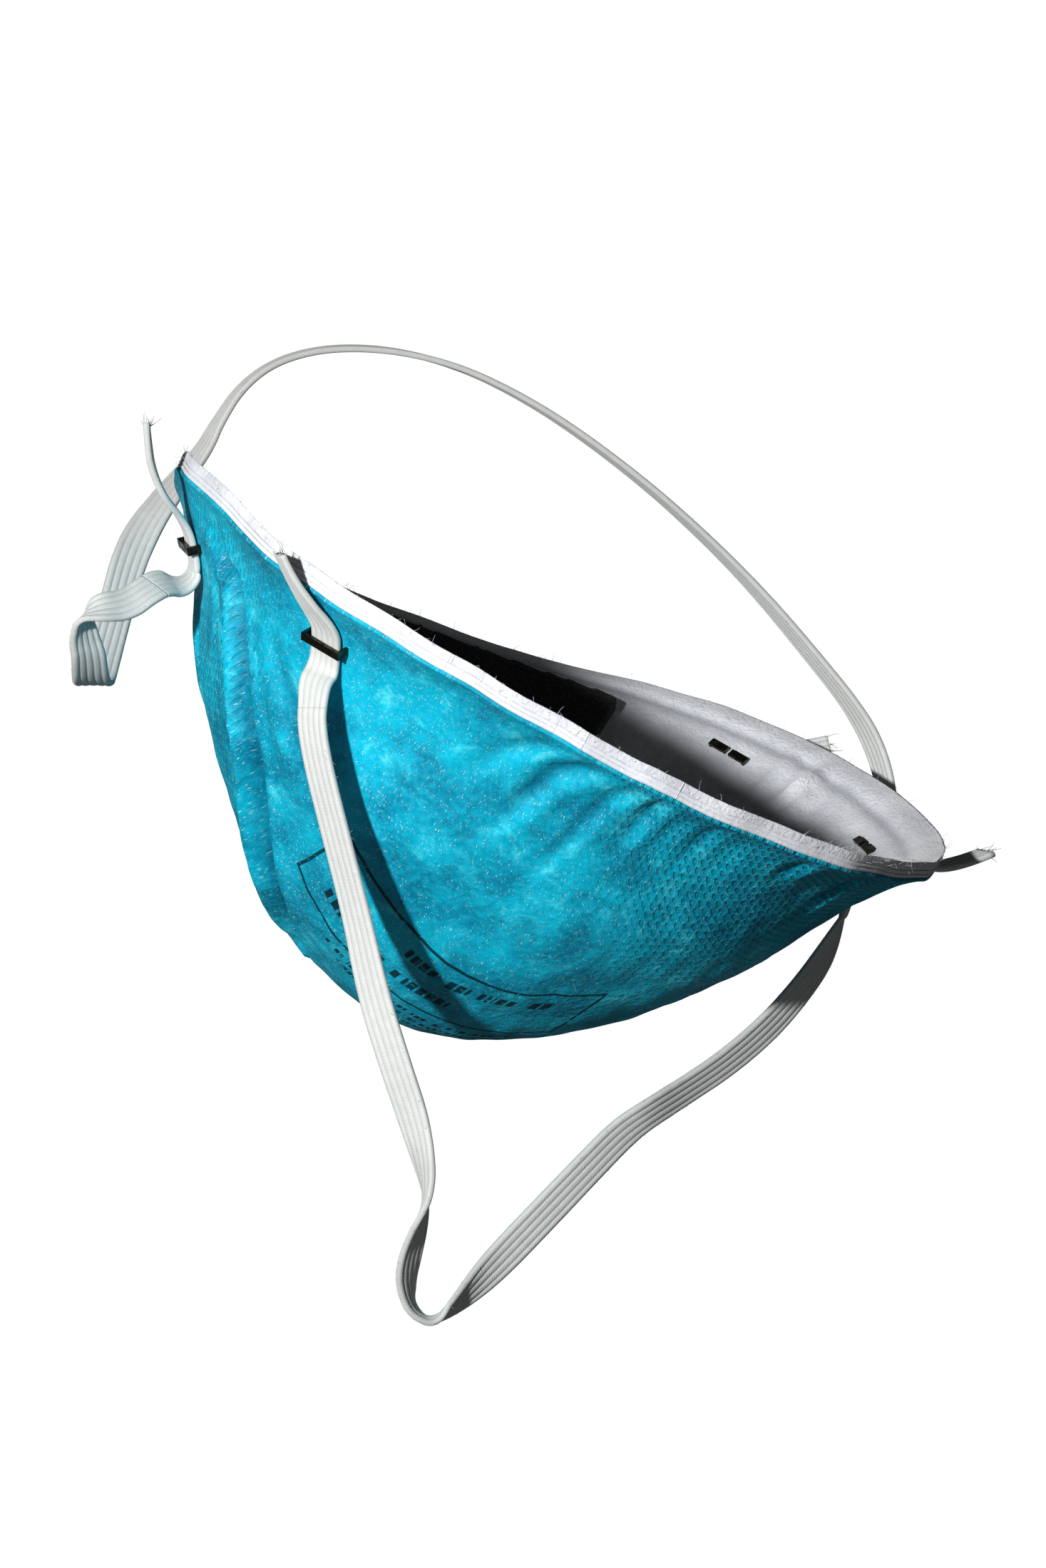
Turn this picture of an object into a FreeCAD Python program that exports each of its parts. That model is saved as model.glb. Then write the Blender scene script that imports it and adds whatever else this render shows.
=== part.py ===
import FreeCAD, Part
import math
import os

# Disposable cup respirator (dust mask), millimetres.
# The cup lies like a bowl: its opening, where the face goes, is at the top (+Z) and its nose side
# is at +Y. The wearer's right cheek is at +X. The origin is the middle of the face seal.

# --- Driving dimensions: the moulded cup -------------------------------------------------------
CUP_WIDTH = 133.0          # rim, cheek to cheek
CUP_HEIGHT = 124.0         # rim, nose to chin
CUP_DEPTH = 62.5           # cheek rim to the front of the cup, before the layers are trimmed
WALL_POWER = 1.95          # 2 is a paraboloid, more is boxier
FRONT_OFFSET = -1.5        # the front of the cup sits this far towards the chin
NOSE_DIP = 14.6            # the nose part of the rim lies this far forward of the cheeks
CHIN_DIP = 2.2             # the chin part of the rim lies this far forward of the cheeks
FLARE = 0.466              # how much the wall flattens into the flange, as a share of its rise
FLARE_START = 0.72         # share of the radius where the wall starts to flatten

# --- Layers, outside to inside -------------------------------------------------------------------
COVER_THICKNESS = 0.45     # coloured nonwoven cover web
FILTER_THICKNESS = 0.50    # each of the two melt-blown filter webs
SHELL_THICKNESS = 1.20     # moulded polyester shell against the face
LAYER_GAP = 0.08           # loft left between one layer and the next
WELD_RADIUS = 0.875        # share of the radius where the weld groove runs round the shell
WELD_DEPTH = 0.45
WELD_WIDTH = 0.016         # half-width of the groove, as a share of the radius
TRIM_START = 0.90          # from here outwards the wall turns to the upright trimmed edge

# --- Nose clip and nose foam ---------------------------------------------------------------------
CLIP_LENGTH = 86.0
CLIP_WIDTH = 5.0
CLIP_THICKNESS = 0.9
CLIP_FROM_RIM = 7.0        # rim to the near edge of the clip, measured across the mask
CLIP_GAP = 0.12
FOAM_LENGTH = 88.0
FOAM_WIDTH = 13.0
FOAM_THICKNESS = 4.0
FOAM_FROM_RIM = 6.5
FOAM_GAP = 0.3

# --- Staples and straps --------------------------------------------------------------------------
STAPLE_RADIUS = 0.90       # share of the radius at which the straps are stapled
STAPLE_ANGLE = 21.5        # degrees above and below the line from cheek to cheek
STAPLE_SIDE_GAP = 0.45     # strap edge to staple leg
STAPLE_WIRE_WIDTH = 1.3
STAPLE_WIRE_THICKNESS = 0.5
CLINCH_LENGTH = 3.3        # each bent-over leg end, inside the cup
HOLE_CLEARANCE = 0.1       # round each leg, in every layer
STRAP_WIDTH = 5.5
STRAP_THICKNESS = 1.0
STAPLE_CROWN = STRAP_WIDTH + 2 * (STAPLE_SIDE_GAP + STAPLE_WIRE_THICKNESS)   # outside width
SEAT_GAP = 0.3             # strap end over the cover, and staple over the strap end
STRAP_END_INNER = 4.0      # strap end from the staple towards the front of the cup
TAIL_LENGTH = 19.0         # cut end of the strap, from the staple outwards
TAIL_FLAT = 2.0            # the part of the tail that is still pressed flat on the flange
TAIL_LIFT = 24.0           # degrees by which the tail turns away from the flange

# Routes of the free straps, from the wearer's left staple to the right one.
# The upper strap folds back beside the cheek, passes outside the nose and arches over the opening.
UPPER_ROUTE = [
    (-69, 17, -13), (-71, 15, -17), (-72, 13, -22), (-71, 14, -28), (-66, 21, -34),
    (-57, 29, -37), (-48, 39, -36), (-44, 49, -27), (-39, 59, -17), (-33, 66, -6),
    (-28, 69, 7), (-17, 69, 17), (-2, 64, 24), (16, 56, 27), (36, 45, 24),
    (55, 33, 16), (70, 23, 8), (79, 15, 0), (81, 9, -8), (78, 8, -15),
    (72, 11, -19), (67, 16, -16)]
# The lower strap hangs in front of the chin side of the cup and folds once at its lowest point.
LOWER_ROUTE = [
    (-61, -24, -13), (-61, -28, -19), (-56, -34, -27), (-48, -38, -37), (-40, -41, -47),
    (-31, -45, -57), (-21, -48, -67), (-13, -49, -77), (-9, -49, -86), (-3, -49, -92),
    (4, -48, -89), (12, -45, -79), (19, -41, -68), (26, -36, -57), (35, -32, -48),
    (46, -28, -38), (54, -24, -28), (59, -21, -20), (61, -21, -14)]

# Share of the radius at each ring of the cup surface, closer together at the weld groove.
RINGS = [0.06, 0.13, 0.20, 0.28, 0.36, 0.44, 0.52, 0.60, 0.67, 0.73, 0.78, 0.82,
         0.845, 0.86, 0.875, 0.89, 0.905, 0.925, 0.95, 0.975, 1.0]
RING_POINTS = 72

Vec = FreeCAD.Vector


def smooth_step(value, start, end):
    share = min(max((value - start) / (end - start), 0.0), 1.0)
    return share * share * (3.0 - 2.0 * share)


def rim_height(angle):
    """Height of the top edge of the rim, before trimming, at an angle from the wearer's right."""
    rise = math.sin(angle)
    dip = NOSE_DIP if rise > 0 else CHIN_DIP
    return -dip * rise * rise


def shell_stack():
    """Distance from the outer skin to each layer's outer and inner face, by layer name."""
    stack = {}
    depth = 0.0
    for name, thickness in (("cover_web", COVER_THICKNESS), ("filter_web_outer", FILTER_THICKNESS),
                            ("filter_web_inner", FILTER_THICKNESS), ("inner_shell", SHELL_THICKNESS)):
        stack[name] = (depth, depth + thickness)
        depth += thickness + LAYER_GAP
    return stack


STACK = shell_stack()
WALL = STACK["inner_shell"][1]


def skin(radius, angle):
    """Point on the outer skin of the cup; radius is a share, 0 at the front and 1 at the rim."""
    x = radius * CUP_WIDTH / 2 * math.cos(angle)
    y = radius * CUP_HEIGHT / 2 * math.sin(angle) + FRONT_OFFSET * (1 - radius * radius)
    rise = CUP_DEPTH * (1 - radius ** WALL_POWER)
    rise *= 1 - FLARE * smooth_step(radius, FLARE_START, 1.0)
    edge = rim_height(angle) * radius ** 3.8 - 1.16 * WALL * radius ** 8
    return Vec(x, y, edge - rise)


def skin_frame(radius, angle):
    """Skin point with its outward normal, its direction towards the rim and its direction round."""
    step = 0.002
    point = skin(radius, angle)
    outward = (skin(radius + step, angle) - skin(radius - step, angle)).normalize()
    around = (skin(radius, angle + step) - skin(radius, angle - step)).normalize()
    normal = outward.cross(around).normalize() * -1
    return point, normal, outward, around


def inside_skin(radius, angle, depth):
    """Point a given depth inside the skin. Near the rim the step turns upright, along the trim."""
    point, normal, outward, around = skin_frame(radius, angle)
    turn = smooth_step(radius, TRIM_START, 1.0)
    step = (normal * (turn - 1.0) + Vec(0, 0, 1) * turn).normalize()
    return point + step * (depth / abs(step.dot(normal)))


def weld_groove(radius):
    return WELD_DEPTH * math.exp(-((radius - WELD_RADIUS) / WELD_WIDTH) ** 2)


def ring_poles(radius, depth):
    """Closed ring of surface poles at one share of the radius."""
    poles = []
    for i in range(RING_POINTS):
        poles.append(inside_skin(radius, 2 * math.pi * i / RING_POINTS, depth))
    if radius == RINGS[0]:
        level = sum(pole.z for pole in poles) / RING_POINTS
        poles = [Vec(pole.x, pole.y, level) for pole in poles]
    return poles


def clamped_knots(count, degree):
    spans = count - degree
    mults = [degree + 1] + [1] * (spans - 1) + [degree + 1]
    return list(range(spans + 1)), mults


def surface_face(rows, closed, row_degree=3):
    """Face through rows of poles; closed makes each row a closed ring."""
    surface = Part.BSplineSurface()
    row_knots, row_mults = clamped_knots(len(rows), row_degree)
    count = len(rows[0])
    if closed:
        knots, mults = list(range(count + 1)), [1] * (count + 1)
    else:
        knots, mults = clamped_knots(count, 3)
    surface.buildFromPolesMultsKnots(rows, row_mults, mults, row_knots, knots, False, closed,
                                     row_degree, 3)
    return surface.toShape()


def sewn_solid(faces):
    shell = Part.makeShell(faces)
    shell.sewShape()
    solid = Part.makeSolid(shell)
    if solid.Volume < 0:
        solid.reverse()
    return solid


def cup_layer(outer_depth, inner_depth, grooved=False):
    """One layer of the cup, between two depths inside the skin, cut upright at the rim."""
    outer = [ring_poles(radius, outer_depth) for radius in RINGS]
    inner = []
    for radius in RINGS:
        depth = inner_depth - (weld_groove(radius) if grooved else 0.0)
        inner.append(ring_poles(radius, depth))
    faces = [surface_face(outer, True), surface_face(inner, True)]
    faces.append(surface_face([outer[-1], inner[-1]], True, 1))
    for rows in (outer, inner):
        ring = Part.BSplineCurve()
        ring.buildFromPolesMultsKnots(rows[0], [1] * (RING_POINTS + 1), list(range(RING_POINTS + 1)),
                                      True, 3)
        faces.append(Part.Face(Part.Wire(ring.toShape())))
    return sewn_solid(faces)


def nose_strip(length, width, from_rim, near_depth, far_depth, columns=18):
    """Strip that follows the cup across the nose, between two depths measured inside the skin."""
    across = CUP_HEIGHT / 2
    outer_radius = 1 - from_rim / across
    inner_radius = outer_radius - width / across
    half_angle = length / 2 / ((outer_radius + inner_radius) / 2 * CUP_WIDTH / 2)
    sheets = []
    for depth in (near_depth, far_depth):
        rows = []
        for i in range(5):
            radius = inner_radius + (outer_radius - inner_radius) * i / 4
            row = []
            for j in range(columns):
                angle = math.pi / 2 + half_angle * (1 - 2 * j / (columns - 1))
                row.append(inside_skin(radius, angle, depth))
            rows.append(row)
        sheets.append(rows)
    near, far = sheets
    faces = [surface_face(near, False), surface_face(far, False)]
    for end in (0, -1):
        faces.append(surface_face([near[end], far[end]], False, 1))
        sides = [[row[end] for row in sheet] for sheet in sheets]
        faces.append(surface_face(sides, False, 1))
    return sewn_solid(faces)


class StaplePlace:
    """Place of one staple on the cup: its point on the skin and its own directions."""

    def __init__(self, side, level):
        angle = math.radians(STAPLE_ANGLE) * level
        if side < 0:
            angle = math.pi - angle
        self.point, self.normal, self.outward, around = skin_frame(STAPLE_RADIUS, angle)
        self.around = self.normal.cross(self.outward).normalize()

    def at(self, outward, around, normal):
        return (self.point + self.outward * outward + self.around * around
                + self.normal * normal)

    def block(self, outward, around, normal):
        """Block between two values in each of the staple's directions."""
        corners = [self.at(outward[0], a, n) for a, n in
                   ((around[0], normal[0]), (around[1], normal[0]),
                    (around[1], normal[1]), (around[0], normal[1]))]
        face = Part.Face(Part.makePolygon(corners + corners[:1]))
        return face.extrude(self.outward * (outward[1] - outward[0]))


def leg_span(clearance):
    """The two ranges, across the staple, that its legs take up."""
    outer = STAPLE_CROWN / 2 + clearance
    inner = STAPLE_CROWN / 2 - STAPLE_WIRE_THICKNESS - clearance
    return ((-outer, -inner), (inner, outer))


def staple(place):
    """Flat-wire staple: crown over the strap end, two legs and their ends bent over inside."""
    half_wire = STAPLE_WIRE_WIDTH / 2
    across = (-half_wire, half_wire)
    crown_low = STRAP_THICKNESS + 2 * SEAT_GAP
    crown_high = crown_low + STAPLE_WIRE_THICKNESS
    clinch_high = -WALL - SEAT_GAP
    clinch_low = clinch_high - STAPLE_WIRE_THICKNESS
    body = place.block(across, (-STAPLE_CROWN / 2, STAPLE_CROWN / 2), (crown_low, crown_high))
    for low, high in leg_span(0.0):
        body = body.fuse(place.block(across, (low, high), (clinch_low, crown_high)))
        outer_edge = max(low, high, key=abs)
        inner_edge = outer_edge - math.copysign(CLINCH_LENGTH, outer_edge)
        clinch = (min(outer_edge, inner_edge), max(outer_edge, inner_edge))
        body = body.fuse(place.block(across, clinch, (clinch_low, clinch_high)))
    return body.removeSplitter()


def leg_holes(place):
    half_wire = STAPLE_WIRE_WIDTH / 2 + HOLE_CLEARANCE
    holes = []
    for low, high in leg_span(HOLE_CLEARANCE):
        holes.append(place.block((-half_wire, half_wire), (low, high), (-2 * WALL, WALL)))
    return Part.makeCompound(holes)


def strap_end(place):
    """Stapled end of a strap: flat under the crown, then a cut tail that turns off the flange."""
    lift = math.radians(TAIL_LIFT)
    free = TAIL_LENGTH - TAIL_FLAT
    profile = []
    for level in (SEAT_GAP, SEAT_GAP + STRAP_THICKNESS):
        # the upper side of the bend starts earlier, so that the band keeps its thickness
        bend = TAIL_FLAT - (level - SEAT_GAP) * math.tan(lift / 2)
        profile.append(((-STRAP_END_INNER, level), (bend, level),
                        (bend + free * math.cos(lift), level + free * math.sin(lift))))
    outline = list(profile[0]) + list(reversed(profile[1]))
    corners = [place.at(u, -STRAP_WIDTH / 2, n) for u, n in outline]
    face = Part.Face(Part.makePolygon(corners + corners[:1]))
    return face.extrude(place.around * STRAP_WIDTH)


def strap_tube(name, route):
    """Plain tube along a route: straight runs joined by tangent arcs as large as the runs allow."""
    points = [Vec(*point) for point in route]
    edges = []
    radii = []
    start = points[0]
    length = 0.0
    for before, corner, after in zip(points, points[1:], points[2:]):
        run_in, run_out = corner - before, after - corner
        turn = run_in.getAngle(run_out)
        tangent = 0.45 * min(run_in.Length, run_out.Length)
        radius = tangent / math.tan(turn / 2)
        enter = corner - run_in.normalize() * tangent
        leave = corner + run_out.normalize() * tangent
        inwards = (run_out - run_in).normalize()
        centre = corner + inwards * math.hypot(radius, tangent)
        edges.append(Part.LineSegment(start, enter).toShape())
        edges.append(Part.Arc(enter, centre - inwards * radius, leave).toShape())
        length += (enter - start).Length + radius * turn
        radii.append(radius)
        start = leave
    edges.append(Part.LineSegment(start, points[-1]).toShape())
    length += (points[-1] - start).Length
    path = Part.Wire(edges)
    section = Part.Wire(Part.Circle(points[0], points[1] - points[0], STRAP_WIDTH / 2).toShape())
    tube = path.makePipeShell([section], True, False)
    share = tube.Volume / (math.pi * STRAP_WIDTH ** 2 / 4 * length)
    print(name, "length", round(length, 1), "volume share", round(share, 4),
          "radii", [round(radius, 1) for radius in radii])
    return tube


def build():
    places = {}
    for strap, level in (("upper", 1), ("lower", -1)):
        for side_name, side in (("left", -1), ("right", 1)):
            places[strap, side_name] = StaplePlace(side, level)

    parts = {}
    for name, (outer_depth, inner_depth) in STACK.items():
        layer = cup_layer(outer_depth, inner_depth, grooved=(name == "inner_shell"))
        for place in places.values():
            layer = layer.cut(leg_holes(place))
        parts[name] = layer

    parts["nose_clip"] = nose_strip(CLIP_LENGTH, CLIP_WIDTH, CLIP_FROM_RIM,
                                    -CLIP_GAP, -CLIP_GAP - CLIP_THICKNESS)
    parts["nose_foam"] = nose_strip(FOAM_LENGTH, FOAM_WIDTH, FOAM_FROM_RIM,
                                    WALL + FOAM_GAP, WALL + FOAM_GAP + FOAM_THICKNESS)

    for (strap, side_name), place in places.items():
        parts["staple_" + strap + "_" + side_name] = staple(place)
    for strap, route in (("upper", UPPER_ROUTE), ("lower", LOWER_ROUTE)):
        ends = [strap_end(places[strap, side_name]) for side_name in ("left", "right")]
        parts[strap + "_strap_ends"] = Part.makeCompound(ends)
        parts[strap + "_strap"] = strap_tube(strap + "_strap", route)
        axis = places[strap, "right"].at(0, 0, SEAT_GAP + STRAP_THICKNESS / 2)
        print(strap, "staple line: y", round(axis.y, 3), "z", round(axis.z, 3), "x", round(axis.x, 3))
    return parts


os.makedirs("parts", exist_ok=True)
for node, shape in build().items():
    shape.exportStep("parts/" + node + ".step")
    print(node, "solids", len(shape.Solids), "valid", shape.isValid(), "volume", round(shape.Volume, 1))
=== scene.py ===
import math

import bpy
import numpy as np
from mathutils import Matrix, Vector
from mathutils.bvhtree import BVHTree


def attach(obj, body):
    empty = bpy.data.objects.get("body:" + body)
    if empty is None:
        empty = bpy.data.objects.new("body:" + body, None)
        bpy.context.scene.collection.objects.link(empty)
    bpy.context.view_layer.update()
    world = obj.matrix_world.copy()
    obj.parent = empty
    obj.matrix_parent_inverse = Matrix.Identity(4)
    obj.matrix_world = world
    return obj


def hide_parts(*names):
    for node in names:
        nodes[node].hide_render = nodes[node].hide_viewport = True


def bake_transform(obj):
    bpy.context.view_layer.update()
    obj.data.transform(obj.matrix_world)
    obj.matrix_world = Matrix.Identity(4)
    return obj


# Disposable moulded dust mask: a pressed cup of four fibre layers, two stapled elastic straps,
# a soft metal nose clip outside and a foam cushion inside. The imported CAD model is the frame.
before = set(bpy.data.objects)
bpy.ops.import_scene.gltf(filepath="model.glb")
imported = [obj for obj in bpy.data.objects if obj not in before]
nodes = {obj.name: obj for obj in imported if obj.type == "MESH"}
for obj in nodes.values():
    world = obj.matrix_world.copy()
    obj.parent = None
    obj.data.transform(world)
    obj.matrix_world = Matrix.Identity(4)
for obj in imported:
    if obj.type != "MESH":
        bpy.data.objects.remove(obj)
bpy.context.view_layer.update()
scene = bpy.context.scene
scene.view_settings.view_transform = "Standard"

# --- Camera, light and floor ---------------------------------------------------------------------
# One small hard lamp from the left of the camera, a wide weak one for the shaded side, a white
# room that only the camera sees at full strength, and a pale floor well under the hanging strap.
AZIMUTH, ELEVATION, ROLL = math.radians(-38.2), math.radians(6.9), math.radians(28.3)
toward_camera = Vector((math.sin(AZIMUTH) * math.cos(ELEVATION),
                        -math.cos(AZIMUTH) * math.cos(ELEVATION), math.sin(ELEVATION)))
level_right = Vector((math.cos(AZIMUTH), math.sin(AZIMUTH), 0))
level_up = toward_camera.cross(level_right)
picture_right = level_right * math.cos(ROLL) + level_up * math.sin(ROLL)
picture_up = level_up * math.cos(ROLL) - level_right * math.sin(ROLL)


def pointed(name, data, place, target, sideways):
    """A camera or lamp at a place, looking at a target, with its own right-hand side given."""
    holder = bpy.data.objects.new(name, data)
    scene.collection.objects.link(holder)
    back = (place - target).normalized()
    right = (sideways - back * sideways.dot(back)).normalized()
    turn = Matrix((right, back.cross(right), back)).transposed()
    holder.matrix_world = Matrix.Translation(place) @ turn.to_4x4()
    return holder


lens = bpy.data.cameras.new("camera")
lens.lens, lens.sensor_width = 152.0, 36.0
lens.clip_start, lens.clip_end = 0.05, 20.0
scene.camera = pointed("camera", lens, toward_camera * 1.0,
                       picture_right * -0.00716 - picture_up * 0.0205, picture_right)

for name, across, along, toward, power, size in (
        ("key_lamp", -0.37, 0.150, 0.90, 15.5, 0.05),
        ("fill_lamp", 0.60, -0.40, 0.70, 0.45, 0.9)):
    lamp = bpy.data.lights.new(name, "AREA")
    lamp.energy, lamp.size = power, size
    place = (picture_right * across + picture_up * along + toward_camera * toward).normalized()
    pointed(name, lamp, place * 1.1, Vector((0, 0, -0.02)), picture_right)


def add_node(tree, kind, inputs=(), **settings):
    """A shader node; inputs pairs a socket's name or number with a value or another socket."""
    made = tree.nodes.new("ShaderNode" + kind)
    for name, value in settings.items():
        setattr(made, name, value)
    for socket, value in dict(inputs).items():
        if isinstance(value, bpy.types.NodeSocket):
            tree.links.new(value, made.inputs[socket])
        else:
            made.inputs[socket].default_value = value
    return made


room = bpy.data.worlds.new("white_room")
scene.world = room
room.use_nodes = True
room.node_tree.nodes.clear()
ray = add_node(room.node_tree, "LightPath")
seen = add_node(room.node_tree, "Background", {"Color": (1, 1, 1, 1), "Strength": 1.05})
felt_light = add_node(room.node_tree, "Background", {"Color": (0.93, 0.97, 1, 1),
                                                     "Strength": 0.025})
mixed = add_node(room.node_tree, "MixShader", {0: ray.outputs["Is Camera Ray"],
                                               1: felt_light.outputs[0], 2: seen.outputs[0]})
add_node(room.node_tree, "OutputWorld", {"Surface": mixed.outputs[0]})

bpy.ops.object.select_all(action="DESELECT")
bpy.ops.mesh.primitive_plane_add(size=24, location=(0, 0, -0.16))
floor = bpy.context.object
floor.name = "floor"
paper = bpy.data.materials.new("floor_paper")
paper.use_nodes = True
tree = paper.node_tree
tree.nodes.clear()
ray = add_node(tree, "LightPath")
matt = add_node(tree, "BsdfDiffuse", {"Color": (0.25, 0.25, 0.25, 1)})
glow = add_node(tree, "Emission", {"Color": (1, 1, 1, 1), "Strength": 1.0})
both = add_node(tree, "AddShader", {0: matt.outputs[0], 1: glow.outputs[0]})
mixed = add_node(tree, "MixShader", {0: ray.outputs["Is Camera Ray"], 1: matt.outputs[0],
                                     2: both.outputs[0]})
add_node(tree, "OutputMaterial", {"Surface": mixed.outputs[0]})
floor.data.materials.append(paper)

# --- Elastic straps ------------------------------------------------------------------------------
# Two flat braided elastics, 5.5 by 1 mm with five ribs. Each is stapled to both cheeks and runs on
# past its staples into two cut, frayed tails. Each point of a route is a place and the way the
# strap's width lies there, in millimetres.
MM = 0.001
STRAP_WIDTH = 5.5 * MM
STRAP_THICKNESS = 1.0 * MM
RIBS = 5
SPLINE_STEPS = 14
UPPER_ROUTE = [
    ((-54.5, 19.6, -13.3), (-0.33, -0.94, 0.04)), ((-54.3, 19.2, -15.3), (-0.33, -0.94, 0.04)),
    ((-56.8, 18.0, -17.0), (-0.20, -0.94, -0.20)), ((-60.3, 16.6, -17.2), (0.05, -0.94, -0.30)),
    ((-63.0, 15.2, -18.9), (0.10, -0.95, -0.25)), ((-66.0, 13.9, -21.9), (-0.02, -0.88, -0.48)),
    ((-70.2, 13.2, -23.6), (-0.11, -0.86, -0.50)), ((-71.9, 14.1, -26.1), (-0.68, -0.71, -0.20)),
    ((-70.1, 14.2, -28.6), (-0.94, -0.25, -0.22)), ((-67.0, 14.5, -31.6), (-0.95, -0.18, -0.26)),
    ((-62.5, 18.1, -35.2), (-0.95, -0.09, -0.29)), ((-56.7, 24.8, -36.7), (-0.94, 0.03, -0.34)),
    ((-53.3, 31.7, -33.0), (-0.96, 0.10, -0.26)), ((-50.6, 38.1, -27.7), (-0.97, 0.12, -0.19)),
    ((-47.8, 45.2, -21.4), (-0.95, 0.30, -0.14)), ((-44.0, 51.3, -16.6), (-0.55, 0.82, -0.17)),
    ((-39.7, 56.4, -11.9), (-0.10, 0.98, -0.12)), ((-35.3, 61.2, -7.7), (0.11, 0.99, -0.12)),
    ((-32.0, 64.4, -3.4), (0.22, 0.97, -0.14)), ((-30.3, 66.9, 0.7), (0.33, 0.93, -0.15)),
    ((-28.0, 69.2, 6.8), (0.44, 0.90, -0.05)), ((-24.2, 70.3, 12.2), (0.52, 0.85, -0.03)),
    ((-18.8, 69.9, 16.8), (0.56, 0.83, -0.03)), ((-12.6, 68.2, 20.4), (0.58, 0.81, -0.03)),
    ((-5.5, 65.6, 23.2), (0.59, 0.80, -0.07)), ((2.7, 62.0, 25.0), (0.61, 0.78, -0.12)),
    ((11.4, 57.8, 25.3), (0.61, 0.77, -0.16)), ((20.9, 52.7, 24.5), (0.61, 0.77, -0.21)),
    ((33.2, 45.8, 22.1), (0.58, 0.78, -0.24)), ((42.9, 40.4, 19.3), (0.56, 0.78, -0.28)),
    ((50.8, 35.6, 16.5), (0.53, 0.78, -0.33)), ((57.9, 30.8, 13.4), (0.47, 0.79, -0.40)),
    ((65.7, 26.0, 9.6), (0.40, 0.81, -0.43)), ((71.7, 21.5, 6.4), (0.34, 0.83, -0.44)),
    ((76.1, 18.1, 3.2), (0.22, 0.85, -0.47)), ((79.1, 14.5, -0.7), (0.16, 0.93, -0.34)),
    ((81.2, 10.9, -5.6), (0.20, 0.96, -0.21)), ((81.4, 8.0, -10.7), (0.39, 0.92, -0.04)),
    ((77.9, 8.6, -15.8), (0.50, 0.82, -0.20)), ((71.9, 11.9, -18.6), (0.35, 0.90, -0.24)),
    ((64.8, 15.4, -19.8), (0.10, 0.94, -0.20)), ((58.8, 18.0, -18.8), (-0.25, 0.94, -0.10)),
    ((54.6, 19.3, -16.0), (-0.33, 0.94, -0.04)), ((54.5, 19.6, -13.3), (-0.33, 0.94, -0.04))]
LOWER_ROUTE = [
    ((-54.6, -20.4, -12.2), (0.35, -0.94, 0.04)), ((-54.3, -20.7, -14.0), (0.35, -0.94, 0.04)),
    ((-55.2, -21.8, -15.6), (0.28, -0.93, 0.16)), ((-55.2, -23.4, -18.0), (0.16, -0.92, 0.34)),
    ((-54.5, -24.6, -20.9), (0.14, -0.91, 0.40)), ((-51.6, -26.8, -25.7), (0.13, -0.89, 0.43)),
    ((-46.0, -29.7, -32.8), (0.13, -0.89, 0.43)), ((-37.9, -33.8, -42.9), (0.12, -0.88, 0.46)),
    ((-32.1, -38.5, -51.9), (0.26, -0.81, 0.53)), ((-26.1, -43.7, -59.7), (0.25, -0.79, 0.56)),
    ((-21.4, -46.4, -64.9), (0.22, -0.80, 0.56)), ((-18.3, -48.9, -69.3), (-0.04, -0.89, 0.46)),
    ((-15.0, -49.5, -73.7), (-0.39, -0.89, 0.24)), ((-13.4, -49.4, -77.1), (-0.67, -0.74, 0.08)),
    ((-12.2, -49.1, -81.1), (-0.88, -0.47, -0.10)), ((-10.9, -48.8, -85.1), (-0.91, -0.38, -0.16)),
    ((-8.4, -48.1, -89.0), (-0.84, -0.54, -0.11)), ((-5.9, -48.6, -92.0), (-0.72, -0.69, 0.04)),
    ((-1.9, -49.3, -92.9), (-0.61, -0.78, 0.12)), ((1.9, -47.9, -89.0), (-0.87, -0.45, 0.20)),
    ((7.6, -44.9, -81.8), (-0.93, 0.19, 0.31)), ((13.8, -41.9, -72.6), (-0.94, 0.19, 0.28)),
    ((19.1, -39.2, -65.0), (-0.96, 0.11, 0.24)), ((23.7, -36.7, -59.1), (-0.96, 0.06, 0.26)),
    ((27.8, -35.5, -54.9), (-0.90, -0.14, 0.41)), ((33.7, -33.1, -50.6), (-0.85, -0.14, 0.50)),
    ((40.5, -31.0, -44.3), (-0.91, -0.10, 0.39)), ((46.6, -28.4, -37.4), (-0.95, -0.10, 0.29)),
    ((51.0, -25.7, -31.1), (-0.97, -0.18, 0.18)), ((54.4, -23.0, -25.2), (-0.96, -0.28, 0.10)),
    ((55.9, -20.7, -19.6), (-0.70, -0.70, 0.04)), ((54.7, -20.6, -16.6), (-0.35, -0.94, 0.04)),
    ((53.9, -20.2, -14.1), (-0.35, -0.94, 0.04)), ((54.6, -20.4, -12.2), (-0.35, -0.94, 0.04))]
UPPER_LEFT_TAIL = [
    ((-70.2, 25.0, 2.4), (-0.55, -0.82, 0.10)), ((-69.2, 23.6, -0.2), (-0.60, -0.79, 0.12)),
    ((-67.2, 22.6, -3.2), (-0.61, -0.78, 0.12)), ((-64.0, 21.4, -6.0), (-0.55, -0.82, 0.10)),
    ((-60.2, 21.5, -7.6), (-0.45, -0.88, 0.08)), ((-57.7, 20.9, -9.2), (-0.35, -0.93, 0.05)),
    ((-56.3, 20.4, -10.9), (-0.33, -0.94, 0.04))]
UPPER_RIGHT_TAIL = [
    ((56.3, 20.4, -10.9), (-0.33, 0.94, -0.04)), ((57.7, 20.9, -9.2), (-0.35, 0.93, -0.05)),
    ((60.5, 21.4, -7.2), (-0.40, 0.90, -0.08)), ((64.6, 21.4, -5.6), (-0.45, 0.88, -0.08)),
    ((68.3, 20.6, -4.0), (-0.45, 0.88, -0.08)), ((71.2, 19.0, -1.6), (-0.45, 0.88, -0.06))]
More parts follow.
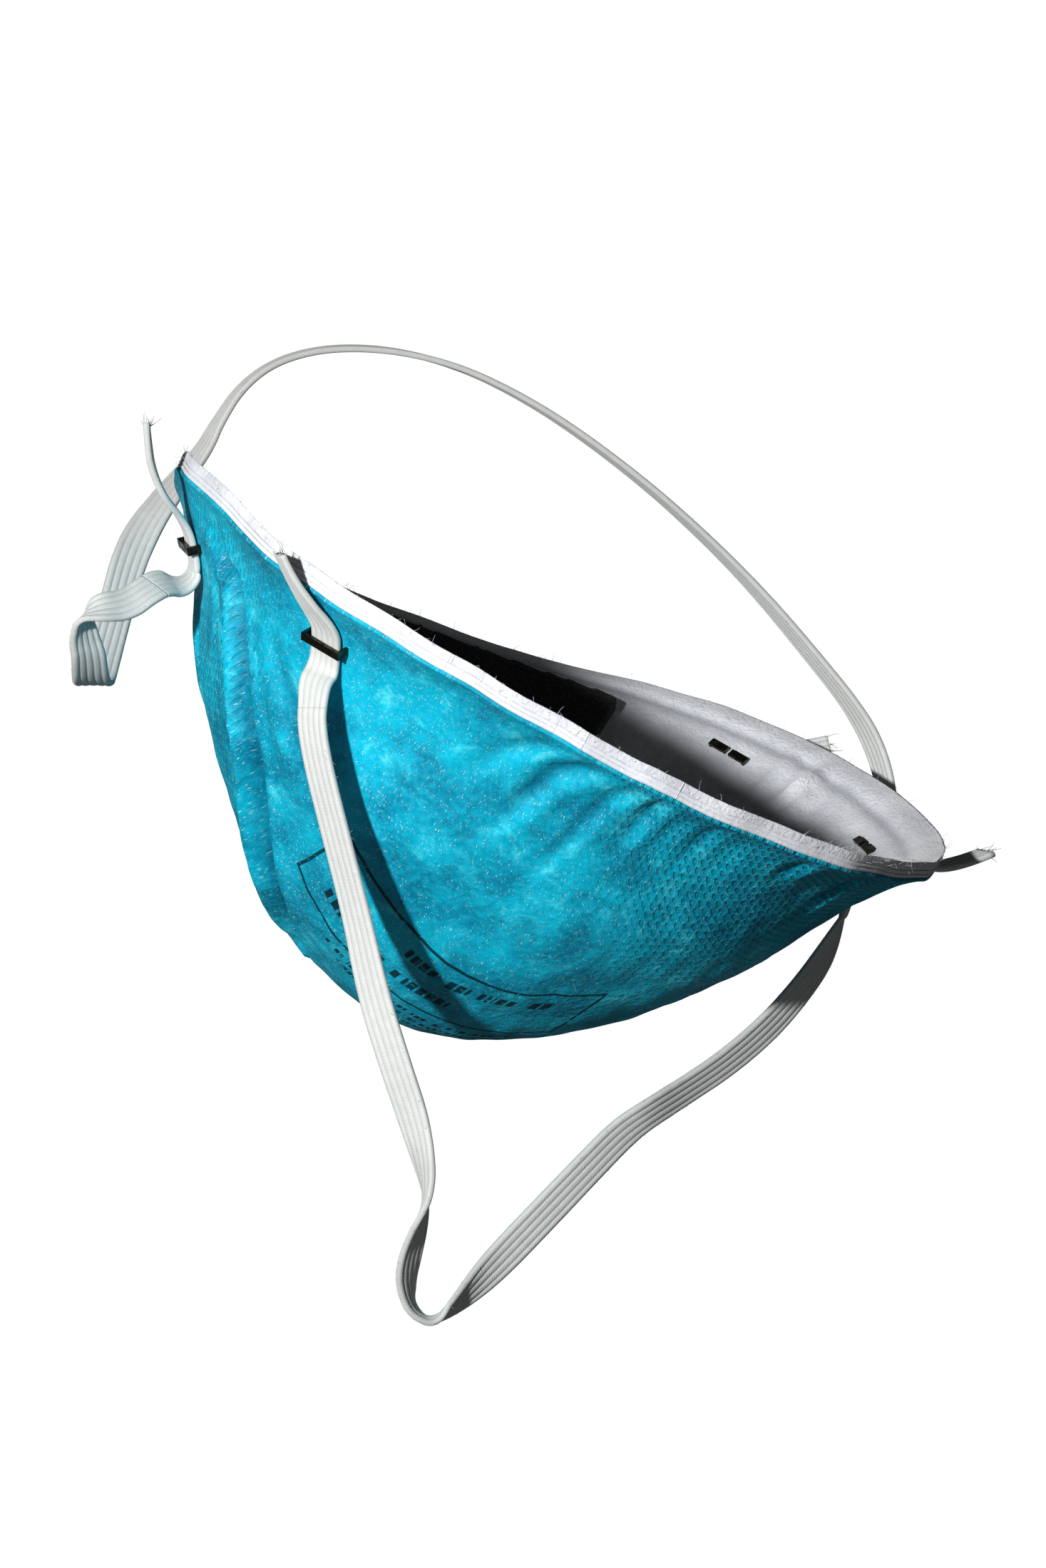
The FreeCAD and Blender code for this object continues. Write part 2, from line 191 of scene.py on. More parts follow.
LOWER_LEFT_TAIL = [
    ((-67.9, -17.0, -1.2), (-0.30, -0.94, 0.08)), ((-65.6, -18.4, -3.3), (-0.30, -0.94, 0.08)),
    ((-62.4, -20.1, -5.5), (-0.10, -0.97, 0.12)), ((-59.4, -21.0, -7.0), (0.20, -0.96, 0.12)),
    ((-57.5, -21.3, -8.2), (0.34, -0.94, 0.06)), ((-56.3, -21.0, -9.7), (0.35, -0.94, 0.04))]
LOWER_RIGHT_TAIL = [
    ((56.3, -21.0, -9.7), (-0.35, -0.94, 0.04)), ((57.5, -21.4, -8.1), (-0.34, -0.94, 0.06)),
    ((61.0, -23.2, -6.6), (-0.30, -0.94, 0.10)), ((66.4, -24.8, -4.8), (-0.30, -0.94, 0.10)),
    ((71.8, -24.6, -0.4), (-0.35, -0.93, 0.12))]


def spline_points(places):
    """Points along the smooth line that a cord takes between its route's points."""
    curve = bpy.data.curves.new("line", "CURVE")
    curve.dimensions = "3D"
    curve.resolution_u = SPLINE_STEPS
    line = curve.splines.new("NURBS")
    line.points.add(len(places) - 1)
    for point, place in zip(line.points, places):
        point.co = (*place, 1)
    line.order_u = 3
    line.use_endpoint_u = True
    holder = bpy.data.objects.new("line", curve)
    mesh = bpy.data.meshes.new_from_object(holder)
    points = np.array([vertex.co for vertex in mesh.vertices])
    bpy.data.objects.remove(holder)
    bpy.data.curves.remove(curve)
    bpy.data.meshes.remove(mesh)
    return points


def wrapped_grid(name, rows):
    """A grid primitive laid over rows of points; tidy_skin closes its seam and poles later."""
    count_along, count_round = rows.shape[:2]
    bpy.ops.object.select_all(action="DESELECT")
    bpy.ops.mesh.primitive_grid_add(x_subdivisions=count_round - 1, y_subdivisions=count_along - 1,
                                    size=1, calc_uvs=True)
    piece = bpy.context.object
    piece.name = piece.data.name = name
    piece.data.vertices.foreach_set("co", rows.reshape(-1).astype(np.float32))
    piece.data.update()
    return piece


def tidy_skin(piece, merge=1e-6):
    """Merges doubled points, turns all faces outwards and shades the piece smooth."""
    bpy.ops.object.select_all(action="DESELECT")
    bpy.context.view_layer.objects.active = piece
    piece.select_set(True)
    bpy.ops.object.mode_set(mode="EDIT")
    bpy.ops.mesh.select_all(action="SELECT")
    bpy.ops.mesh.remove_doubles(threshold=merge)
    bpy.ops.mesh.normals_make_consistent(inside=False)
    bpy.ops.object.mode_set(mode="OBJECT")
    bpy.ops.object.shade_smooth()


FACE_STEPS = RIBS * 7


def strap_section():
    """Outline of the braid across its width: five ribs on each face, thinner at both edges."""
    across = np.linspace(-0.5, 0.5, FACE_STEPS + 1)
    rib = np.abs(np.sin(np.pi * RIBS * (across + 0.5)))
    edge = np.clip((0.5 - np.abs(across)) / 0.10, 0, 1) ** 0.5
    thick = 0.5 * (0.78 + 0.22 * rib ** 0.6) * (0.45 + 0.55 * edge)
    top = np.stack([across, thick], 1)
    bottom = np.stack([across[::-1], -thick[::-1]], 1)
    ring = np.concatenate([top, bottom, top[:1]])
    marks = np.concatenate([across + 0.5, 1.0 + (0.5 - across[::-1]), [2.0]])
    return ring * (STRAP_WIDTH, STRAP_THICKNESS), marks


def strap_rows(line):
    """Sections of a braided band along a line, its middle points and the length up to each."""
    centre = spline_points([Vector(place) * MM for place, lie in line])
    tips = spline_points([Vector(place) * MM + Vector(lie).normalized() * STRAP_WIDTH / 2
                          for place, lie in line])
    along = np.gradient(centre, axis=0)
    along /= np.linalg.norm(along, axis=1)[:, None]
    width = tips - centre
    width -= (width * along).sum(1)[:, None] * along
    width /= np.linalg.norm(width, axis=1)[:, None]
    face = np.cross(along, width)
    ring = strap_section()[0]
    rows = (centre[:, None] + width[:, None] * ring[None, :, :1]
            + face[:, None] * ring[None, :, 1:])
    steps = np.linalg.norm(np.diff(centre, axis=0), axis=1)
    return rows, centre, np.concatenate([[0], np.cumsum(steps)])


def close_ends(piece):
    """Caps the open ends of a tube and turns its faces outwards."""
    tidy_skin(piece)
    bpy.ops.object.mode_set(mode="EDIT")
    bpy.ops.mesh.select_all(action="SELECT")
    bpy.ops.mesh.fill_holes(sides=0)
    bpy.ops.mesh.normals_make_consistent(inside=False)
    bpy.ops.object.mode_set(mode="OBJECT")


def strap_band(name, rows, length):
    """A length of braided band over those sections, with its own run of the weave's UV map."""
    marks = strap_section()[1]
    piece = wrapped_grid(name, rows)
    corner = np.zeros(len(piece.data.loops), int)
    piece.data.loops.foreach_get("vertex_index", corner)
    place = np.stack([length[corner // len(marks)] / STRAP_WIDTH, marks[corner % len(marks)]], 1)
    piece.data.uv_layers[0].data.foreach_set("uv", place.reshape(-1).astype(np.float32))
    close_ends(piece)
    piece.data.materials.append(elastic)
    return piece


def join_pieces(name, pieces):
    bpy.ops.object.select_all(action="DESELECT")
    for piece in pieces:
        piece.select_set(True)
    bpy.context.view_layer.objects.active = pieces[0]
    bpy.ops.object.join()
    pieces[0].name = pieces[0].data.name = name
    return pieces[0]


def loose_fibres(name, roots, thickness, seed):
    """Fine bent fibres, one for each place, heading and length, copied from a single strand."""
    draw = np.random.default_rng(seed)
    along, turn = np.linspace(0, 1, 6)[:, None], np.linspace(0, math.tau, 5)[None, :]
    thin = thickness / 2 * (1 - 0.6 * along)
    rows = np.stack([np.cos(turn) * thin, np.sin(turn) * thin, along + 0 * turn], -1)
    strand = wrapped_grid("strand", rows)
    close_ends(strand)
    shape = np.array([vertex.co for vertex in strand.data.vertices])
    strands = [strand]
    for place, heading, length in roots:
        copy = strand.copy()
        copy.data = strand.data.copy()
        scene.collection.objects.link(copy)
        ahead = np.array(Vector(heading).normalized())
        side = np.cross(ahead, draw.normal(size=3))
        side /= np.linalg.norm(side)
        over = np.cross(ahead, side)
        bend = draw.uniform(-0.35, 0.35, 2) * length
        run = shape[:, 2:]
        points = (np.array(place) + ahead * run * length
                  + side * (shape[:, :1] + bend[0] * run ** 2)
                  + over * (shape[:, 1:2] + bend[1] * run ** 3))
        copy.data.vertices.foreach_set("co", points.reshape(-1).astype(np.float32))
        strands.append(copy)
    piece = join_pieces(name, strands[1:])
    bpy.data.objects.remove(strand)
    return piece


def node_group(name, inputs, outputs):
    """An empty shader group with named inputs and outputs, and its two end nodes."""
    group = bpy.data.node_groups.new(name, "ShaderNodeTree")
    for label, kind, value in inputs:
        socket = group.interface.new_socket(label, in_out="INPUT", socket_type="NodeSocket" + kind)
        if value is not None:
            socket.default_value = value
    for label, kind in outputs:
        group.interface.new_socket(label, in_out="OUTPUT", socket_type="NodeSocket" + kind)
    return (group, group.nodes.new("NodeGroupInput").outputs,
            group.nodes.new("NodeGroupOutput").inputs)


def calc(tree, operation, first, second=0.0, third=0.0, clamp=False):
    return add_node(tree, "Math", {0: first, 1: second, 2: third}, operation=operation,
                    use_clamp=clamp).outputs[0]


def tint(tree, share, first, second):
    """Mixes two colours, from the first at share 0 to the second at share 1."""
    return add_node(tree, "Mix", {0: share, 6: first, 7: second}, data_type="RGBA").outputs[2]


def ramp(tree, value, low, high, start=0.0, end=1.0):
    """Smooth step of a value from low to high, given out between start and end."""
    return add_node(tree, "MapRange", {0: value, 1: low, 2: high, 3: start, 4: end},
                    interpolation_type="SMOOTHSTEP").outputs[0]


braid, take, give = node_group(
    "braid", [("Place", "Vector", None), ("Stitches", "Float", 11.0)],
    [("Height", "Float"), ("Groove", "Float")])
parts = add_node(braid, "SeparateXYZ", {0: take["Place"]})
rib = calc(braid, "FRACT", calc(braid, "MULTIPLY", parts.outputs[1], float(RIBS)))
fold = calc(braid, "MULTIPLY", calc(braid, "ABSOLUTE", calc(braid, "SUBTRACT", rib, 0.5)), 2.0)
slant = calc(braid, "MULTIPLY_ADD", parts.outputs[0], take["Stitches"],
             calc(braid, "MULTIPLY", fold, 0.7))
stitch = calc(braid, "MULTIPLY_ADD",
              calc(braid, "SINE", calc(braid, "MULTIPLY", slant, math.tau)), 0.5, 0.5)
crown = calc(braid, "SUBTRACT", 1.0, calc(braid, "POWER", fold, 3.0))
braid.links.new(calc(braid, "MULTIPLY", calc(braid, "MULTIPLY_ADD", stitch, 0.35, 0.65), crown),
                give["Height"])
braid.links.new(ramp(braid, fold, 0.62, 1.0), give["Groove"])


def new_material(name):
    material = bpy.data.materials.new(name)
    material.use_nodes = True
    material.node_tree.nodes.clear()
    return material, material.node_tree


def close_material(tree, colour, roughness, height, distance, strength=1.0, **plain):
    """Principled shader with a bump; plain values are set on the shader's own sockets."""
    bump = add_node(tree, "Bump", {"Height": height, "Distance": distance, "Strength": strength})
    shader = add_node(tree, "BsdfPrincipled", {"Base Color": colour, "Roughness": roughness,
                                               "Normal": bump.outputs[0]})
    for label, value in plain.items():
        shader.inputs[label.replace("_", " ").title().replace("Ior", "IOR")].default_value = value
    add_node(tree, "OutputMaterial", {"Surface": shader.outputs[0]})


elastic, tree = new_material("strap_elastic")
place = add_node(tree, "UVMap").outputs[0]
weave = add_node(tree, "Group", node_tree=braid)
tree.links.new(place, weave.inputs["Place"])
weave.inputs["Stitches"].default_value = 11.0
object_place = add_node(tree, "TexCoord").outputs["Object"]
cloud = add_node(tree, "TexNoise", {"Vector": object_place, "Scale": 700.0, "Detail": 4.0})
tone = tint(tree, cloud.outputs[0], (0.56, 0.58, 0.56, 1), (0.70, 0.72, 0.70, 1))
# Painted shade: the grooves between the ribs and the hollows between the stitches are darkened in
# the colour, besides the bump.
tone = tint(tree, calc(tree, "MULTIPLY", weave.outputs["Groove"], 0.34), tone,
            (0.34, 0.36, 0.34, 1))
stitch_hollow_shade = calc(tree, "SUBTRACT", 1.0, weave.outputs["Height"])
tone = tint(tree, calc(tree, "MULTIPLY", stitch_hollow_shade, 0.12), tone, (0.45, 0.46, 0.44, 1))
close_material(tree, tone, 0.75, weave.outputs["Height"], 0.00008, 0.6, sheen_weight=0.15)

# The end pieces run from the cut tails down to the first section that lies wholly below the
# staples;
# they are baked in place and attached to no body. The free strap takes over from there and goes
# with its loop.
FRAYS = 12
STRAP_FUZZ = 260
for name, left_tail, route, right_tail, seat, hang in (
        ("upper_strap", UPPER_LEFT_TAIL, UPPER_ROUTE, UPPER_RIGHT_TAIL, -0.0135, -0.0175),
        ("lower_strap", LOWER_LEFT_TAIL, LOWER_ROUTE, LOWER_RIGHT_TAIL, -0.0125, -0.0175)):
    rows, centre, length = strap_rows(left_tail + route + right_tail)
    below = rows[..., 2].max(axis=1) < hang
    first, last = int(below.argmax()), len(below) - 1 - int(below[::-1].argmax())
    band = strap_band(name + "_band", rows[first:last + 1], length[first:])
    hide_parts(name)
    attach(band, name + "_loop")
    draw = np.random.default_rng(len(left_tail) + len(route))
    roots = []
    for tip, before in ((0, 3), (-1, -4)):
        ahead = centre[tip] - centre[before]
        ahead /= np.linalg.norm(ahead)
        for _ in range(FRAYS):
            start = rows[tip][draw.integers(0, rows.shape[1])] * 0.85 + centre[tip] * 0.15
            roots.append((start - ahead * 0.4 * MM, ahead + draw.normal(0, 0.30, 3),
                          draw.uniform(0.8, 2.4) * MM))
    frays = loose_fibres(name + "_frays", roots, 0.16 * MM, 7)
    roots = []
    for _ in range(STRAP_FUZZ):
        section = draw.integers(first + 5, last - 5)
        start = rows[section][draw.choice((0, FACE_STEPS, FACE_STEPS + 1, 3, FACE_STEPS - 3))]
        away = (start - centre[section]) / np.linalg.norm(start - centre[section])
        roots.append((start, away + draw.normal(0, 0.6, 3), draw.uniform(0.25, 0.8) * MM))
    fuzz = loose_fibres(name + "_fuzz", roots, 0.045 * MM, 8)
    fuzz.data.materials.append(elastic)
    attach(fuzz, name + "_loop")
    frays.data.materials.append(elastic)
    ends = join_pieces(name + "_ends_bands", [
        strap_band(name + "_left_end", rows[:first + 1], length),
        strap_band(name + "_right_end", rows[last:], length[last:]), frays])
    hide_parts(name + "_ends")
    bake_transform(ends)

# --- Pressed cup ---------------------------------------------------------------------------------
# Four layers are laid on each other, pressed over one heated mould and welded round the edge: the
# coloured cover web, two white filter webs and the thick felt shell. All share the same creases.
CUP_WIDTH, CUP_HEIGHT, CUP_DEPTH = 133.0 * MM, 124.0 * MM, 62.5 * MM
WALL = 2.89 * MM
WELD_RING = 0.94
LAYERS = {"cover_web": (0.0, 0.45), "filter_web_outer": (0.53, 1.03),
          "filter_web_inner": (1.11, 1.61), "inner_shell": (1.69, 2.89)}


def smooth_step(value, start, end):
    share = np.clip((value - start) / (end - start), 0, 1)
    return share * share * (3 - 2 * share)


FRONT_DROP = 1.5
FRONT_POWER = 2


def mould(radius, angle):
    """Outer skin of the cup; radius is a share, 0 at the front and 1 at the rim."""
    sine, cosine = np.sin(angle), np.cos(angle)
    x = radius * CUP_WIDTH / 2 * cosine
    y = radius * CUP_HEIGHT / 2 * sine - FRONT_DROP * MM * (1 - radius ** FRONT_POWER)
    rise = CUP_DEPTH * (1 - radius ** 1.95) * (1 - 0.466 * smooth_step(radius, 0.72, 1.0))
    dip = np.where(sine > 0, 14.6, 2.2) * MM * sine ** 2
    z = -dip * radius ** 3.8 - 1.16 * WALL * radius ** 8 - rise
    return np.stack([x, y, z], -1)


def mould_normal(radius, angle):
    step = 0.002
    middle = np.maximum(radius, 0.01)
    outward = mould(middle + step, angle) - mould(middle - step, angle)
    around = mould(middle, angle + step) - mould(middle, angle - step)
    normal = np.cross(around, outward)
    return normal / np.linalg.norm(normal, axis=-1)[..., None]


def flat_web(radius, angle):
    """Where a point of the cup lay in the flat web before pressing, in millimetres."""
    shares = np.linspace(0, 1, 160)
    line = mould(shares[:, None], angle[None, :])
    steps = np.linalg.norm(np.diff(line, axis=0), axis=-1)
    length = np.concatenate([np.zeros((1, len(angle))), np.cumsum(steps, axis=0)]) / MM
    where = np.clip(radius, 0, 1) * (len(shares) - 1)
    low = np.minimum(where.astype(int), len(shares) - 2)
    part = (where - low)[:, None]
    reach = length[low] * (1 - part) + length[low + 1] * part
    return np.stack([reach * np.cos(angle), reach * np.sin(angle)], -1)


def web_place(x, y):
    """Flat place of the cup point that stands at x, y on the pressed cup, in millimetres."""
    half_width, half_height = CUP_WIDTH / 2 / MM, CUP_HEIGHT / 2 / MM
    radius = 0.7
    for _ in range(30):
        lifted = y + FRONT_DROP * (1 - radius ** FRONT_POWER)
        radius = min(math.hypot(x / half_width, lifted / half_height), 1.0)
    angle = math.atan2(lifted / half_height, x / half_width)
    return flat_web(np.array([radius]), np.array([angle]))[0, 0]


def line_distance(places, line):
    """Distance of each flat place from a broken line, its share along it, and its side."""
    best = np.full(places.shape[:-1], 1e9)
    share, side = np.zeros_like(best), np.zeros_like(best)
    for number, (start, end) in enumerate(zip(line, line[1:])):
        run = end - start
        part = np.clip(((places - start) @ run) / (run @ run), 0, 1)
        off = places - start - part[..., None] * run
        gap = np.linalg.norm(off, axis=-1)
        closer = gap < best
        best = np.where(closer, gap, best)
        share = np.where(closer, (number + part) / (len(line) - 1), share)
        side = np.where(closer, np.sign(run[0] * off[..., 1] - run[1] * off[..., 0]), side)
    return best, share, side


def ripple(places, wavelength, seed):
    """Smooth unevenness of felt, about 1 high, with waves of about one length."""
    draw = np.random.default_rng(seed)
    total = np.zeros(places.shape[:-1])
    for _ in range(7):
        heading, shift = draw.uniform(0, math.tau, 2)
        pace = math.tau / (wavelength * draw.uniform(0.7, 1.5))
        total += np.sin(pace * (places[..., 0] * math.cos(heading)
                                + places[..., 1] * math.sin(heading)) + shift)
    return total / 3


# Creases: points on the pressed cup, depth and width in millimetres, and how far a lip stands.
# The first is the fold that the cup was packed flat with, and it stands proud on one side.
CREASES = [
    ([(-61, 8), (-59, 2), (-53, -2), (-47, -5), (-37, -4), (-29, -3), (-21, 1), (-16, 3)],
     2.1, 1.5, 0.7),
    ([(61, 8), (59, 2), (53, -2), (47, -5), (37, -4), (29, -3), (22, 1)], 1.4, 1.9, 0.55),
    ([(-37, -39), (-37, -44), (-34, -53)], 0.55, 1.7, 0.4),
    ([(-30, -41), (-30, -49), (-27, -56)], 0.95, 1.9, 0.5),
    ([(-21, -44), (-22, -52), (-22, -58)], 0.65, 1.5, 0.4),
    ([(-15, -50), (-17, -56), (-18, -60)], 0.8, 1.6, 0.4),
    ([(-6, -54), (-7, -58), (-7, -62)], 0.5, 1.7, 0.4),
    ([(10, -55), (10, -58), (10, -61)], 0.6, 1.9, 0.4),
    ([(24, -47), (26, -52), (27, -56)], 0.7, 1.7, 0.4),
    ([(38, -40), (40, -44), (42, -47)], 0.6, 1.7, 0.4),
    ([(-62, 13), (-58, 11), (-52, 9)], 0.8, 1.5, 0.4),
    ([(-64, 7), (-60, 5.5), (-55, 4)], 0.8, 1.5, 0.4),
    ([(-62, 28), (-56, 24), (-48, 20), (-40, 17)], 1.0, 1.9, 0.4),
    ([(-50, 33), (-44, 26), (-38, 20), (-30, 14)], 0.9, 2.4, 0.3),
    ([(-57, -8), (-50, -14), (-42, -18)], 0.7, 2.2, 0.4),
    ([(62, 13), (58, 11), (52, 9)], 0.6, 1.5, 0.4),
    ([(64, 7), (60, 5.5), (55, 4)], 0.7, 1.5, 0.4),
]
CREASES = [([web_place(x, y) for x, y in line], *size) for line, *size in CREASES]
fixtures = [name for name in nodes if name.startswith(("nose_", "staple_"))
            or name.endswith("strap_ends")]
fixture_trees = []
for name in fixtures:
    mesh = nodes[name].data
    fixture_trees.append(BVHTree.FromPolygons([v.co for v in mesh.vertices],
                                              [list(p.vertices) for p in mesh.polygons]))


def free_share(points):
    """0 beside the staples, strap ends, clip and foam, where the press holds the web flat."""
    share = np.ones(points.shape[:-1])
    for index in np.ndindex(share.shape):
        point = Vector(points[index])
        gap = min((tree.find_nearest(point, 0.02)[3] or 0.02) for tree in fixture_trees)
        share[index] = gap
    return smooth_step(share, 0.0025, 0.0085)


# Only the packing fold is deeper than FOLD_DEPTH, and its proud side is a step FOLD_STEP high.
FOLD_DEPTH, FOLD_STEP = 2, 1.3


def pressed_relief(web):
    """Height of the cover over the mould, a mask of its creases for the painted crease shade, and
    nearness to one.
    """
    crease_shade, near = np.zeros(web.shape[:-1]), np.zeros(web.shape[:-1])
    relief = 0.22 * ripple(web, 26, 3) + 0.08 * ripple(web, 9, 5) + 0.03 * ripple(web, 4.5, 8)
    for line, depth, width, lip in CREASES:
        gap, share, side = line_distance(web, line)
        fade = np.sin(np.pi * np.clip(share, 0.03, 0.97)) ** 0.6
        dent = -depth * np.exp(-(gap / width) ** 2)
        shoulder = (lip * depth * (1 + 0.5 * side)
                    * np.exp(-((gap - 2.0 * width) / (1.1 * width)) ** 2))
        fold = (FOLD_STEP * np.exp(-gap / 8) * (side > 0) * smooth_step(gap, 0, 1.0)
                * (depth > FOLD_DEPTH))
        relief = relief + (dent + shoulder + fold) * fade
        sharp = np.exp(-(gap / (0.7 * width)) ** 2) * fade * min(0.7 * depth, 1.0)
        crease_shade = np.maximum(crease_shade, sharp)
        near = np.maximum(near, np.exp(-(gap / (2.6 * width)) ** 2) * fade)
    return relief * MM, crease_shade, near


INNER_RELIEF, INNER_SINK = 0.5 * MM, 0.75 * MM
CORNER_BEND = 4.0 * MM


def cup_rows(faces_out, faces_in):
    """Radius and depth share of each row: front to rim outside, over the edge, and back inside."""
    out = np.concatenate([np.linspace(0, 0.8, int(faces_out * 0.62), endpoint=False),
                          np.linspace(0.8, 1, int(faces_out * 0.38))])
    back = np.concatenate([np.linspace(0, 0.8, int(faces_in * 0.55), endpoint=False),
                           np.linspace(0.8, 1, int(faces_in * 0.45))])[::-1]
    over = np.array([0.12, 0.35, 0.65, 0.88])
    radius = np.concatenate([out, np.ones(4), back])
    depth = np.concatenate([np.zeros(len(out)), over, np.ones(len(back))])
    return radius, depth


def pressed_layer(name, spokes, faces_out, faces_in, weld=0.0):
    """One layer of the cup, closed all round."""
    outer, inner = (value * MM for value in LAYERS[name])
    radius, share = cup_rows(faces_out, faces_in)
    angle = np.linspace(0, math.tau, spokes + 1)
    angle[-1] = 0.0
    ring, turn = np.meshgrid(radius, angle, indexing="ij")
    skin, normal = mould(ring, turn), mould_normal(ring, turn)
    web = flat_web(radius, angle)
    free = free_share(skin)
    relief, crease_shade, near = pressed_relief(web)
    # The layers under the cover are pressed in beside a crease, so that none shows through it.
    if name != "cover_web":
        relief = np.minimum(relief, INNER_RELIEF) - INNER_SINK * near
    relief, crease_shade = relief * free, crease_shade * free
    relief *= 1 - 0.75 * smooth_step(ring, 0.93, 1.0)
    relief = np.where(ring < 0.02, relief[:1].mean(), relief)
    upright = smooth_step(ring, 0.90, 1.0)[..., None]
    step = -normal * (1 - upright) + np.array([0, 0, 1.0]) * upright
    step /= np.linalg.norm(step, axis=-1)[..., None]
    depth = outer + (inner - outer) * share[:, None] * np.ones_like(ring)
    depth -= weld * share[:, None] * np.exp(-((ring - WELD_RING) / 0.014) ** 2)
    slope = np.abs((step * normal).sum(-1))
    points = skin + normal * relief[..., None] + step * (depth / slope)[..., None]
    wave = np.stack([np.cos(turn), np.sin(turn)], -1) * 20
    wander = (0.45 * ripple(wave, 11, 21) + 0.22 * ripple(wave, 4.5, 22)) * MM
    lift = (0.35 * ripple(wave, 13, 23) + 0.12 * ripple(wave, 4, 24)) * MM
    rim = ring ** 14
    # The corner of the rim at the wearer's left cheek is bent up.
    degrees = np.degrees(np.mod(turn, math.tau))
    corner_bend = (CORNER_BEND * smooth_step(200 - degrees, 0, 62)
                   * (1 - smooth_step(138 - degrees, 0, 20)))
    lift += corner_bend * smooth_step(ring, 0.91, 1.0) / np.maximum(rim, 1e-3)
    bulge = 0.10 * MM * np.sin(np.pi * share)[:, None] * (ring > 0.999)
    sideways = np.stack([np.cos(turn), np.sin(turn), np.zeros_like(turn)], -1)
    points += sideways * (wander * rim + bulge)[..., None]
    points[..., 2] += lift * rim
    piece = wrapped_grid(name + "_layer", points)
    corner = np.zeros(len(piece.data.loops), int)
    piece.data.loops.foreach_get("vertex_index", corner)
    flat = web.reshape(-1, 2)[corner] / 100
    piece.data.uv_layers[0].data.foreach_set("uv", flat.reshape(-1).astype(np.float32))
    line = np.exp(-((ring - WELD_RING) / 0.008) ** 2) * share[:, None] if weld else 0 * ring
    # The crease mask is stored as an attribute for the cover's painted crease shade, beside the
    # weld line.
    for label, value in (("crease_shade", crease_shade), ("weld", line)):
        held = piece.data.attributes.new(label, "FLOAT", "POINT")
        held.data.foreach_set("value", value.reshape(-1).astype(np.float32))
    tidy_skin(piece, 2e-6)
    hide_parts(name)
    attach(piece, "cup")
    return piece


flecks, take, give = node_group(
    "fibre_flecks", [("Place", "Vector", None), ("Turn", "Float", 0.6), ("Long", "Float", 30.0),
                     ("Fine", "Float", 420.0), ("Share", "Float", 0.62)], [("Fleck", "Float")])
turned = add_node(flecks, "VectorRotate", {"Vector": take["Place"], "Angle": take["Turn"]},
                  rotation_type="Z_AXIS")
parts = add_node(flecks, "SeparateXYZ", {0: turned.outputs[0]})
stretched = add_node(flecks, "CombineXYZ", {
    0: calc(flecks, "MULTIPLY", parts.outputs[0], take["Long"]),
    1: calc(flecks, "MULTIPLY", parts.outputs[1], take["Fine"]),
    2: calc(flecks, "MULTIPLY", parts.outputs[2], take["Long"])})
grain = add_node(flecks, "TexNoise", {"Vector": stretched.outputs[0], "Scale": 1.0,
                                      "Detail": 1.0, "Distortion": 0.12})
flecks.links.new(ramp(flecks, grain.outputs[0], take["Share"],
                      calc(flecks, "ADD", take["Share"], 0.05)), give["Fleck"])


def fleck(tree, place, turn, long, fine, share):
    made = add_node(tree, "Group", node_tree=flecks)
    tree.links.new(place, made.inputs["Place"])
    for label, value in (("Turn", turn), ("Long", long), ("Fine", fine), ("Share", share)):
        made.inputs[label].default_value = value
    return made.outputs[0]


# Cover web: spunbonded turquoise fibre, point-bonded in staggered ovals, with paler loose fibres.
cover_cloth, tree = new_material("cover_web_turquoise")
web = add_node(tree, "UVMap").outputs[0]
place = add_node(tree, "TexCoord").outputs["Object"]
patches = add_node(tree, "TexNoise", {"Vector": place, "Scale": 95.0, "Detail": 5.0,
                                      "Roughness": 0.6}).outputs[0]
fine = add_node(tree, "TexNoise", {"Vector": place, "Scale": 900.0, "Detail": 3.0}).outputs[0]
tone = tint(tree, ramp(tree, patches, 0.36, 0.64), (0.0, 0.22, 0.36, 1), (0.0, 0.46, 0.66, 1))
clumps = add_node(tree, "TexNoise", {"Vector": place, "Scale": 210.0, "Detail": 5.0,
                                     "Roughness": 0.7, "Distortion": 0.5}).outputs[0]
cloudy = calc(tree, "MULTIPLY", ramp(tree, clumps, 0.50, 0.68), ramp(tree, patches, 0.42, 0.66))
tone = tint(tree, cloudy, tone, (0.07, 0.74, 0.88, 1))
tone = tint(tree, ramp(tree, fine, 0.35, 0.75, 0.0, 0.35), tone, (0.0, 0.58, 0.78, 1))
strand_a = fleck(tree, web, -1.0, 110.0, 560.0, 0.675)
strand_b = fleck(tree, web, -0.65, 120.0, 620.0, 0.69)
strand_c = fleck(tree, web, -1.5, 110.0, 560.0, 0.70)
strands = calc(tree, "MAXIMUM", strand_a, calc(tree, "MAXIMUM", strand_b, strand_c))
tone = tint(tree, calc(tree, "MULTIPLY", strands, 0.95), tone, (0.62, 0.96, 1.0, 1))
# Painted shade: the cover is darkened along its creases, where the folds fall into shade.
crease_shade = add_node(tree, "Attribute", attribute_name="crease_shade").outputs["Fac"]
tone = tint(tree, calc(tree, "MULTIPLY", crease_shade, 0.85), tone, (0.0, 0.09, 0.17, 1))
grain_line = add_node(tree, "VectorRotate", {"Vector": web, "Angle": -0.52},
                      rotation_type="Z_AXIS").outputs[0]
parts = add_node(tree, "SeparateXYZ", {0: grain_line})
row = calc(tree, "MULTIPLY", parts.outputs[1], 100 / 1.2)
line_number = calc(tree, "FLOOR", row)
shift = calc(tree, "MULTIPLY", calc(tree, "MODULO", line_number, 2.0), 0.5)
column = calc(tree, "FRACT", calc(tree, "MULTIPLY_ADD", parts.outputs[0], 100 / 2.6, shift))
local_x = calc(tree, "SUBTRACT", column, 0.5)
local_y = calc(tree, "SUBTRACT", calc(tree, "FRACT", row), 0.5)
oval = calc(tree, "ADD", calc(tree, "POWER", calc(tree, "DIVIDE", local_x, 0.40), 2.0),
            calc(tree, "POWER", calc(tree, "DIVIDE", local_y, 0.28), 2.0))
bond = ramp(tree, oval, 1.3, 0.5)
where = add_node(tree, "SeparateXYZ", {0: place})
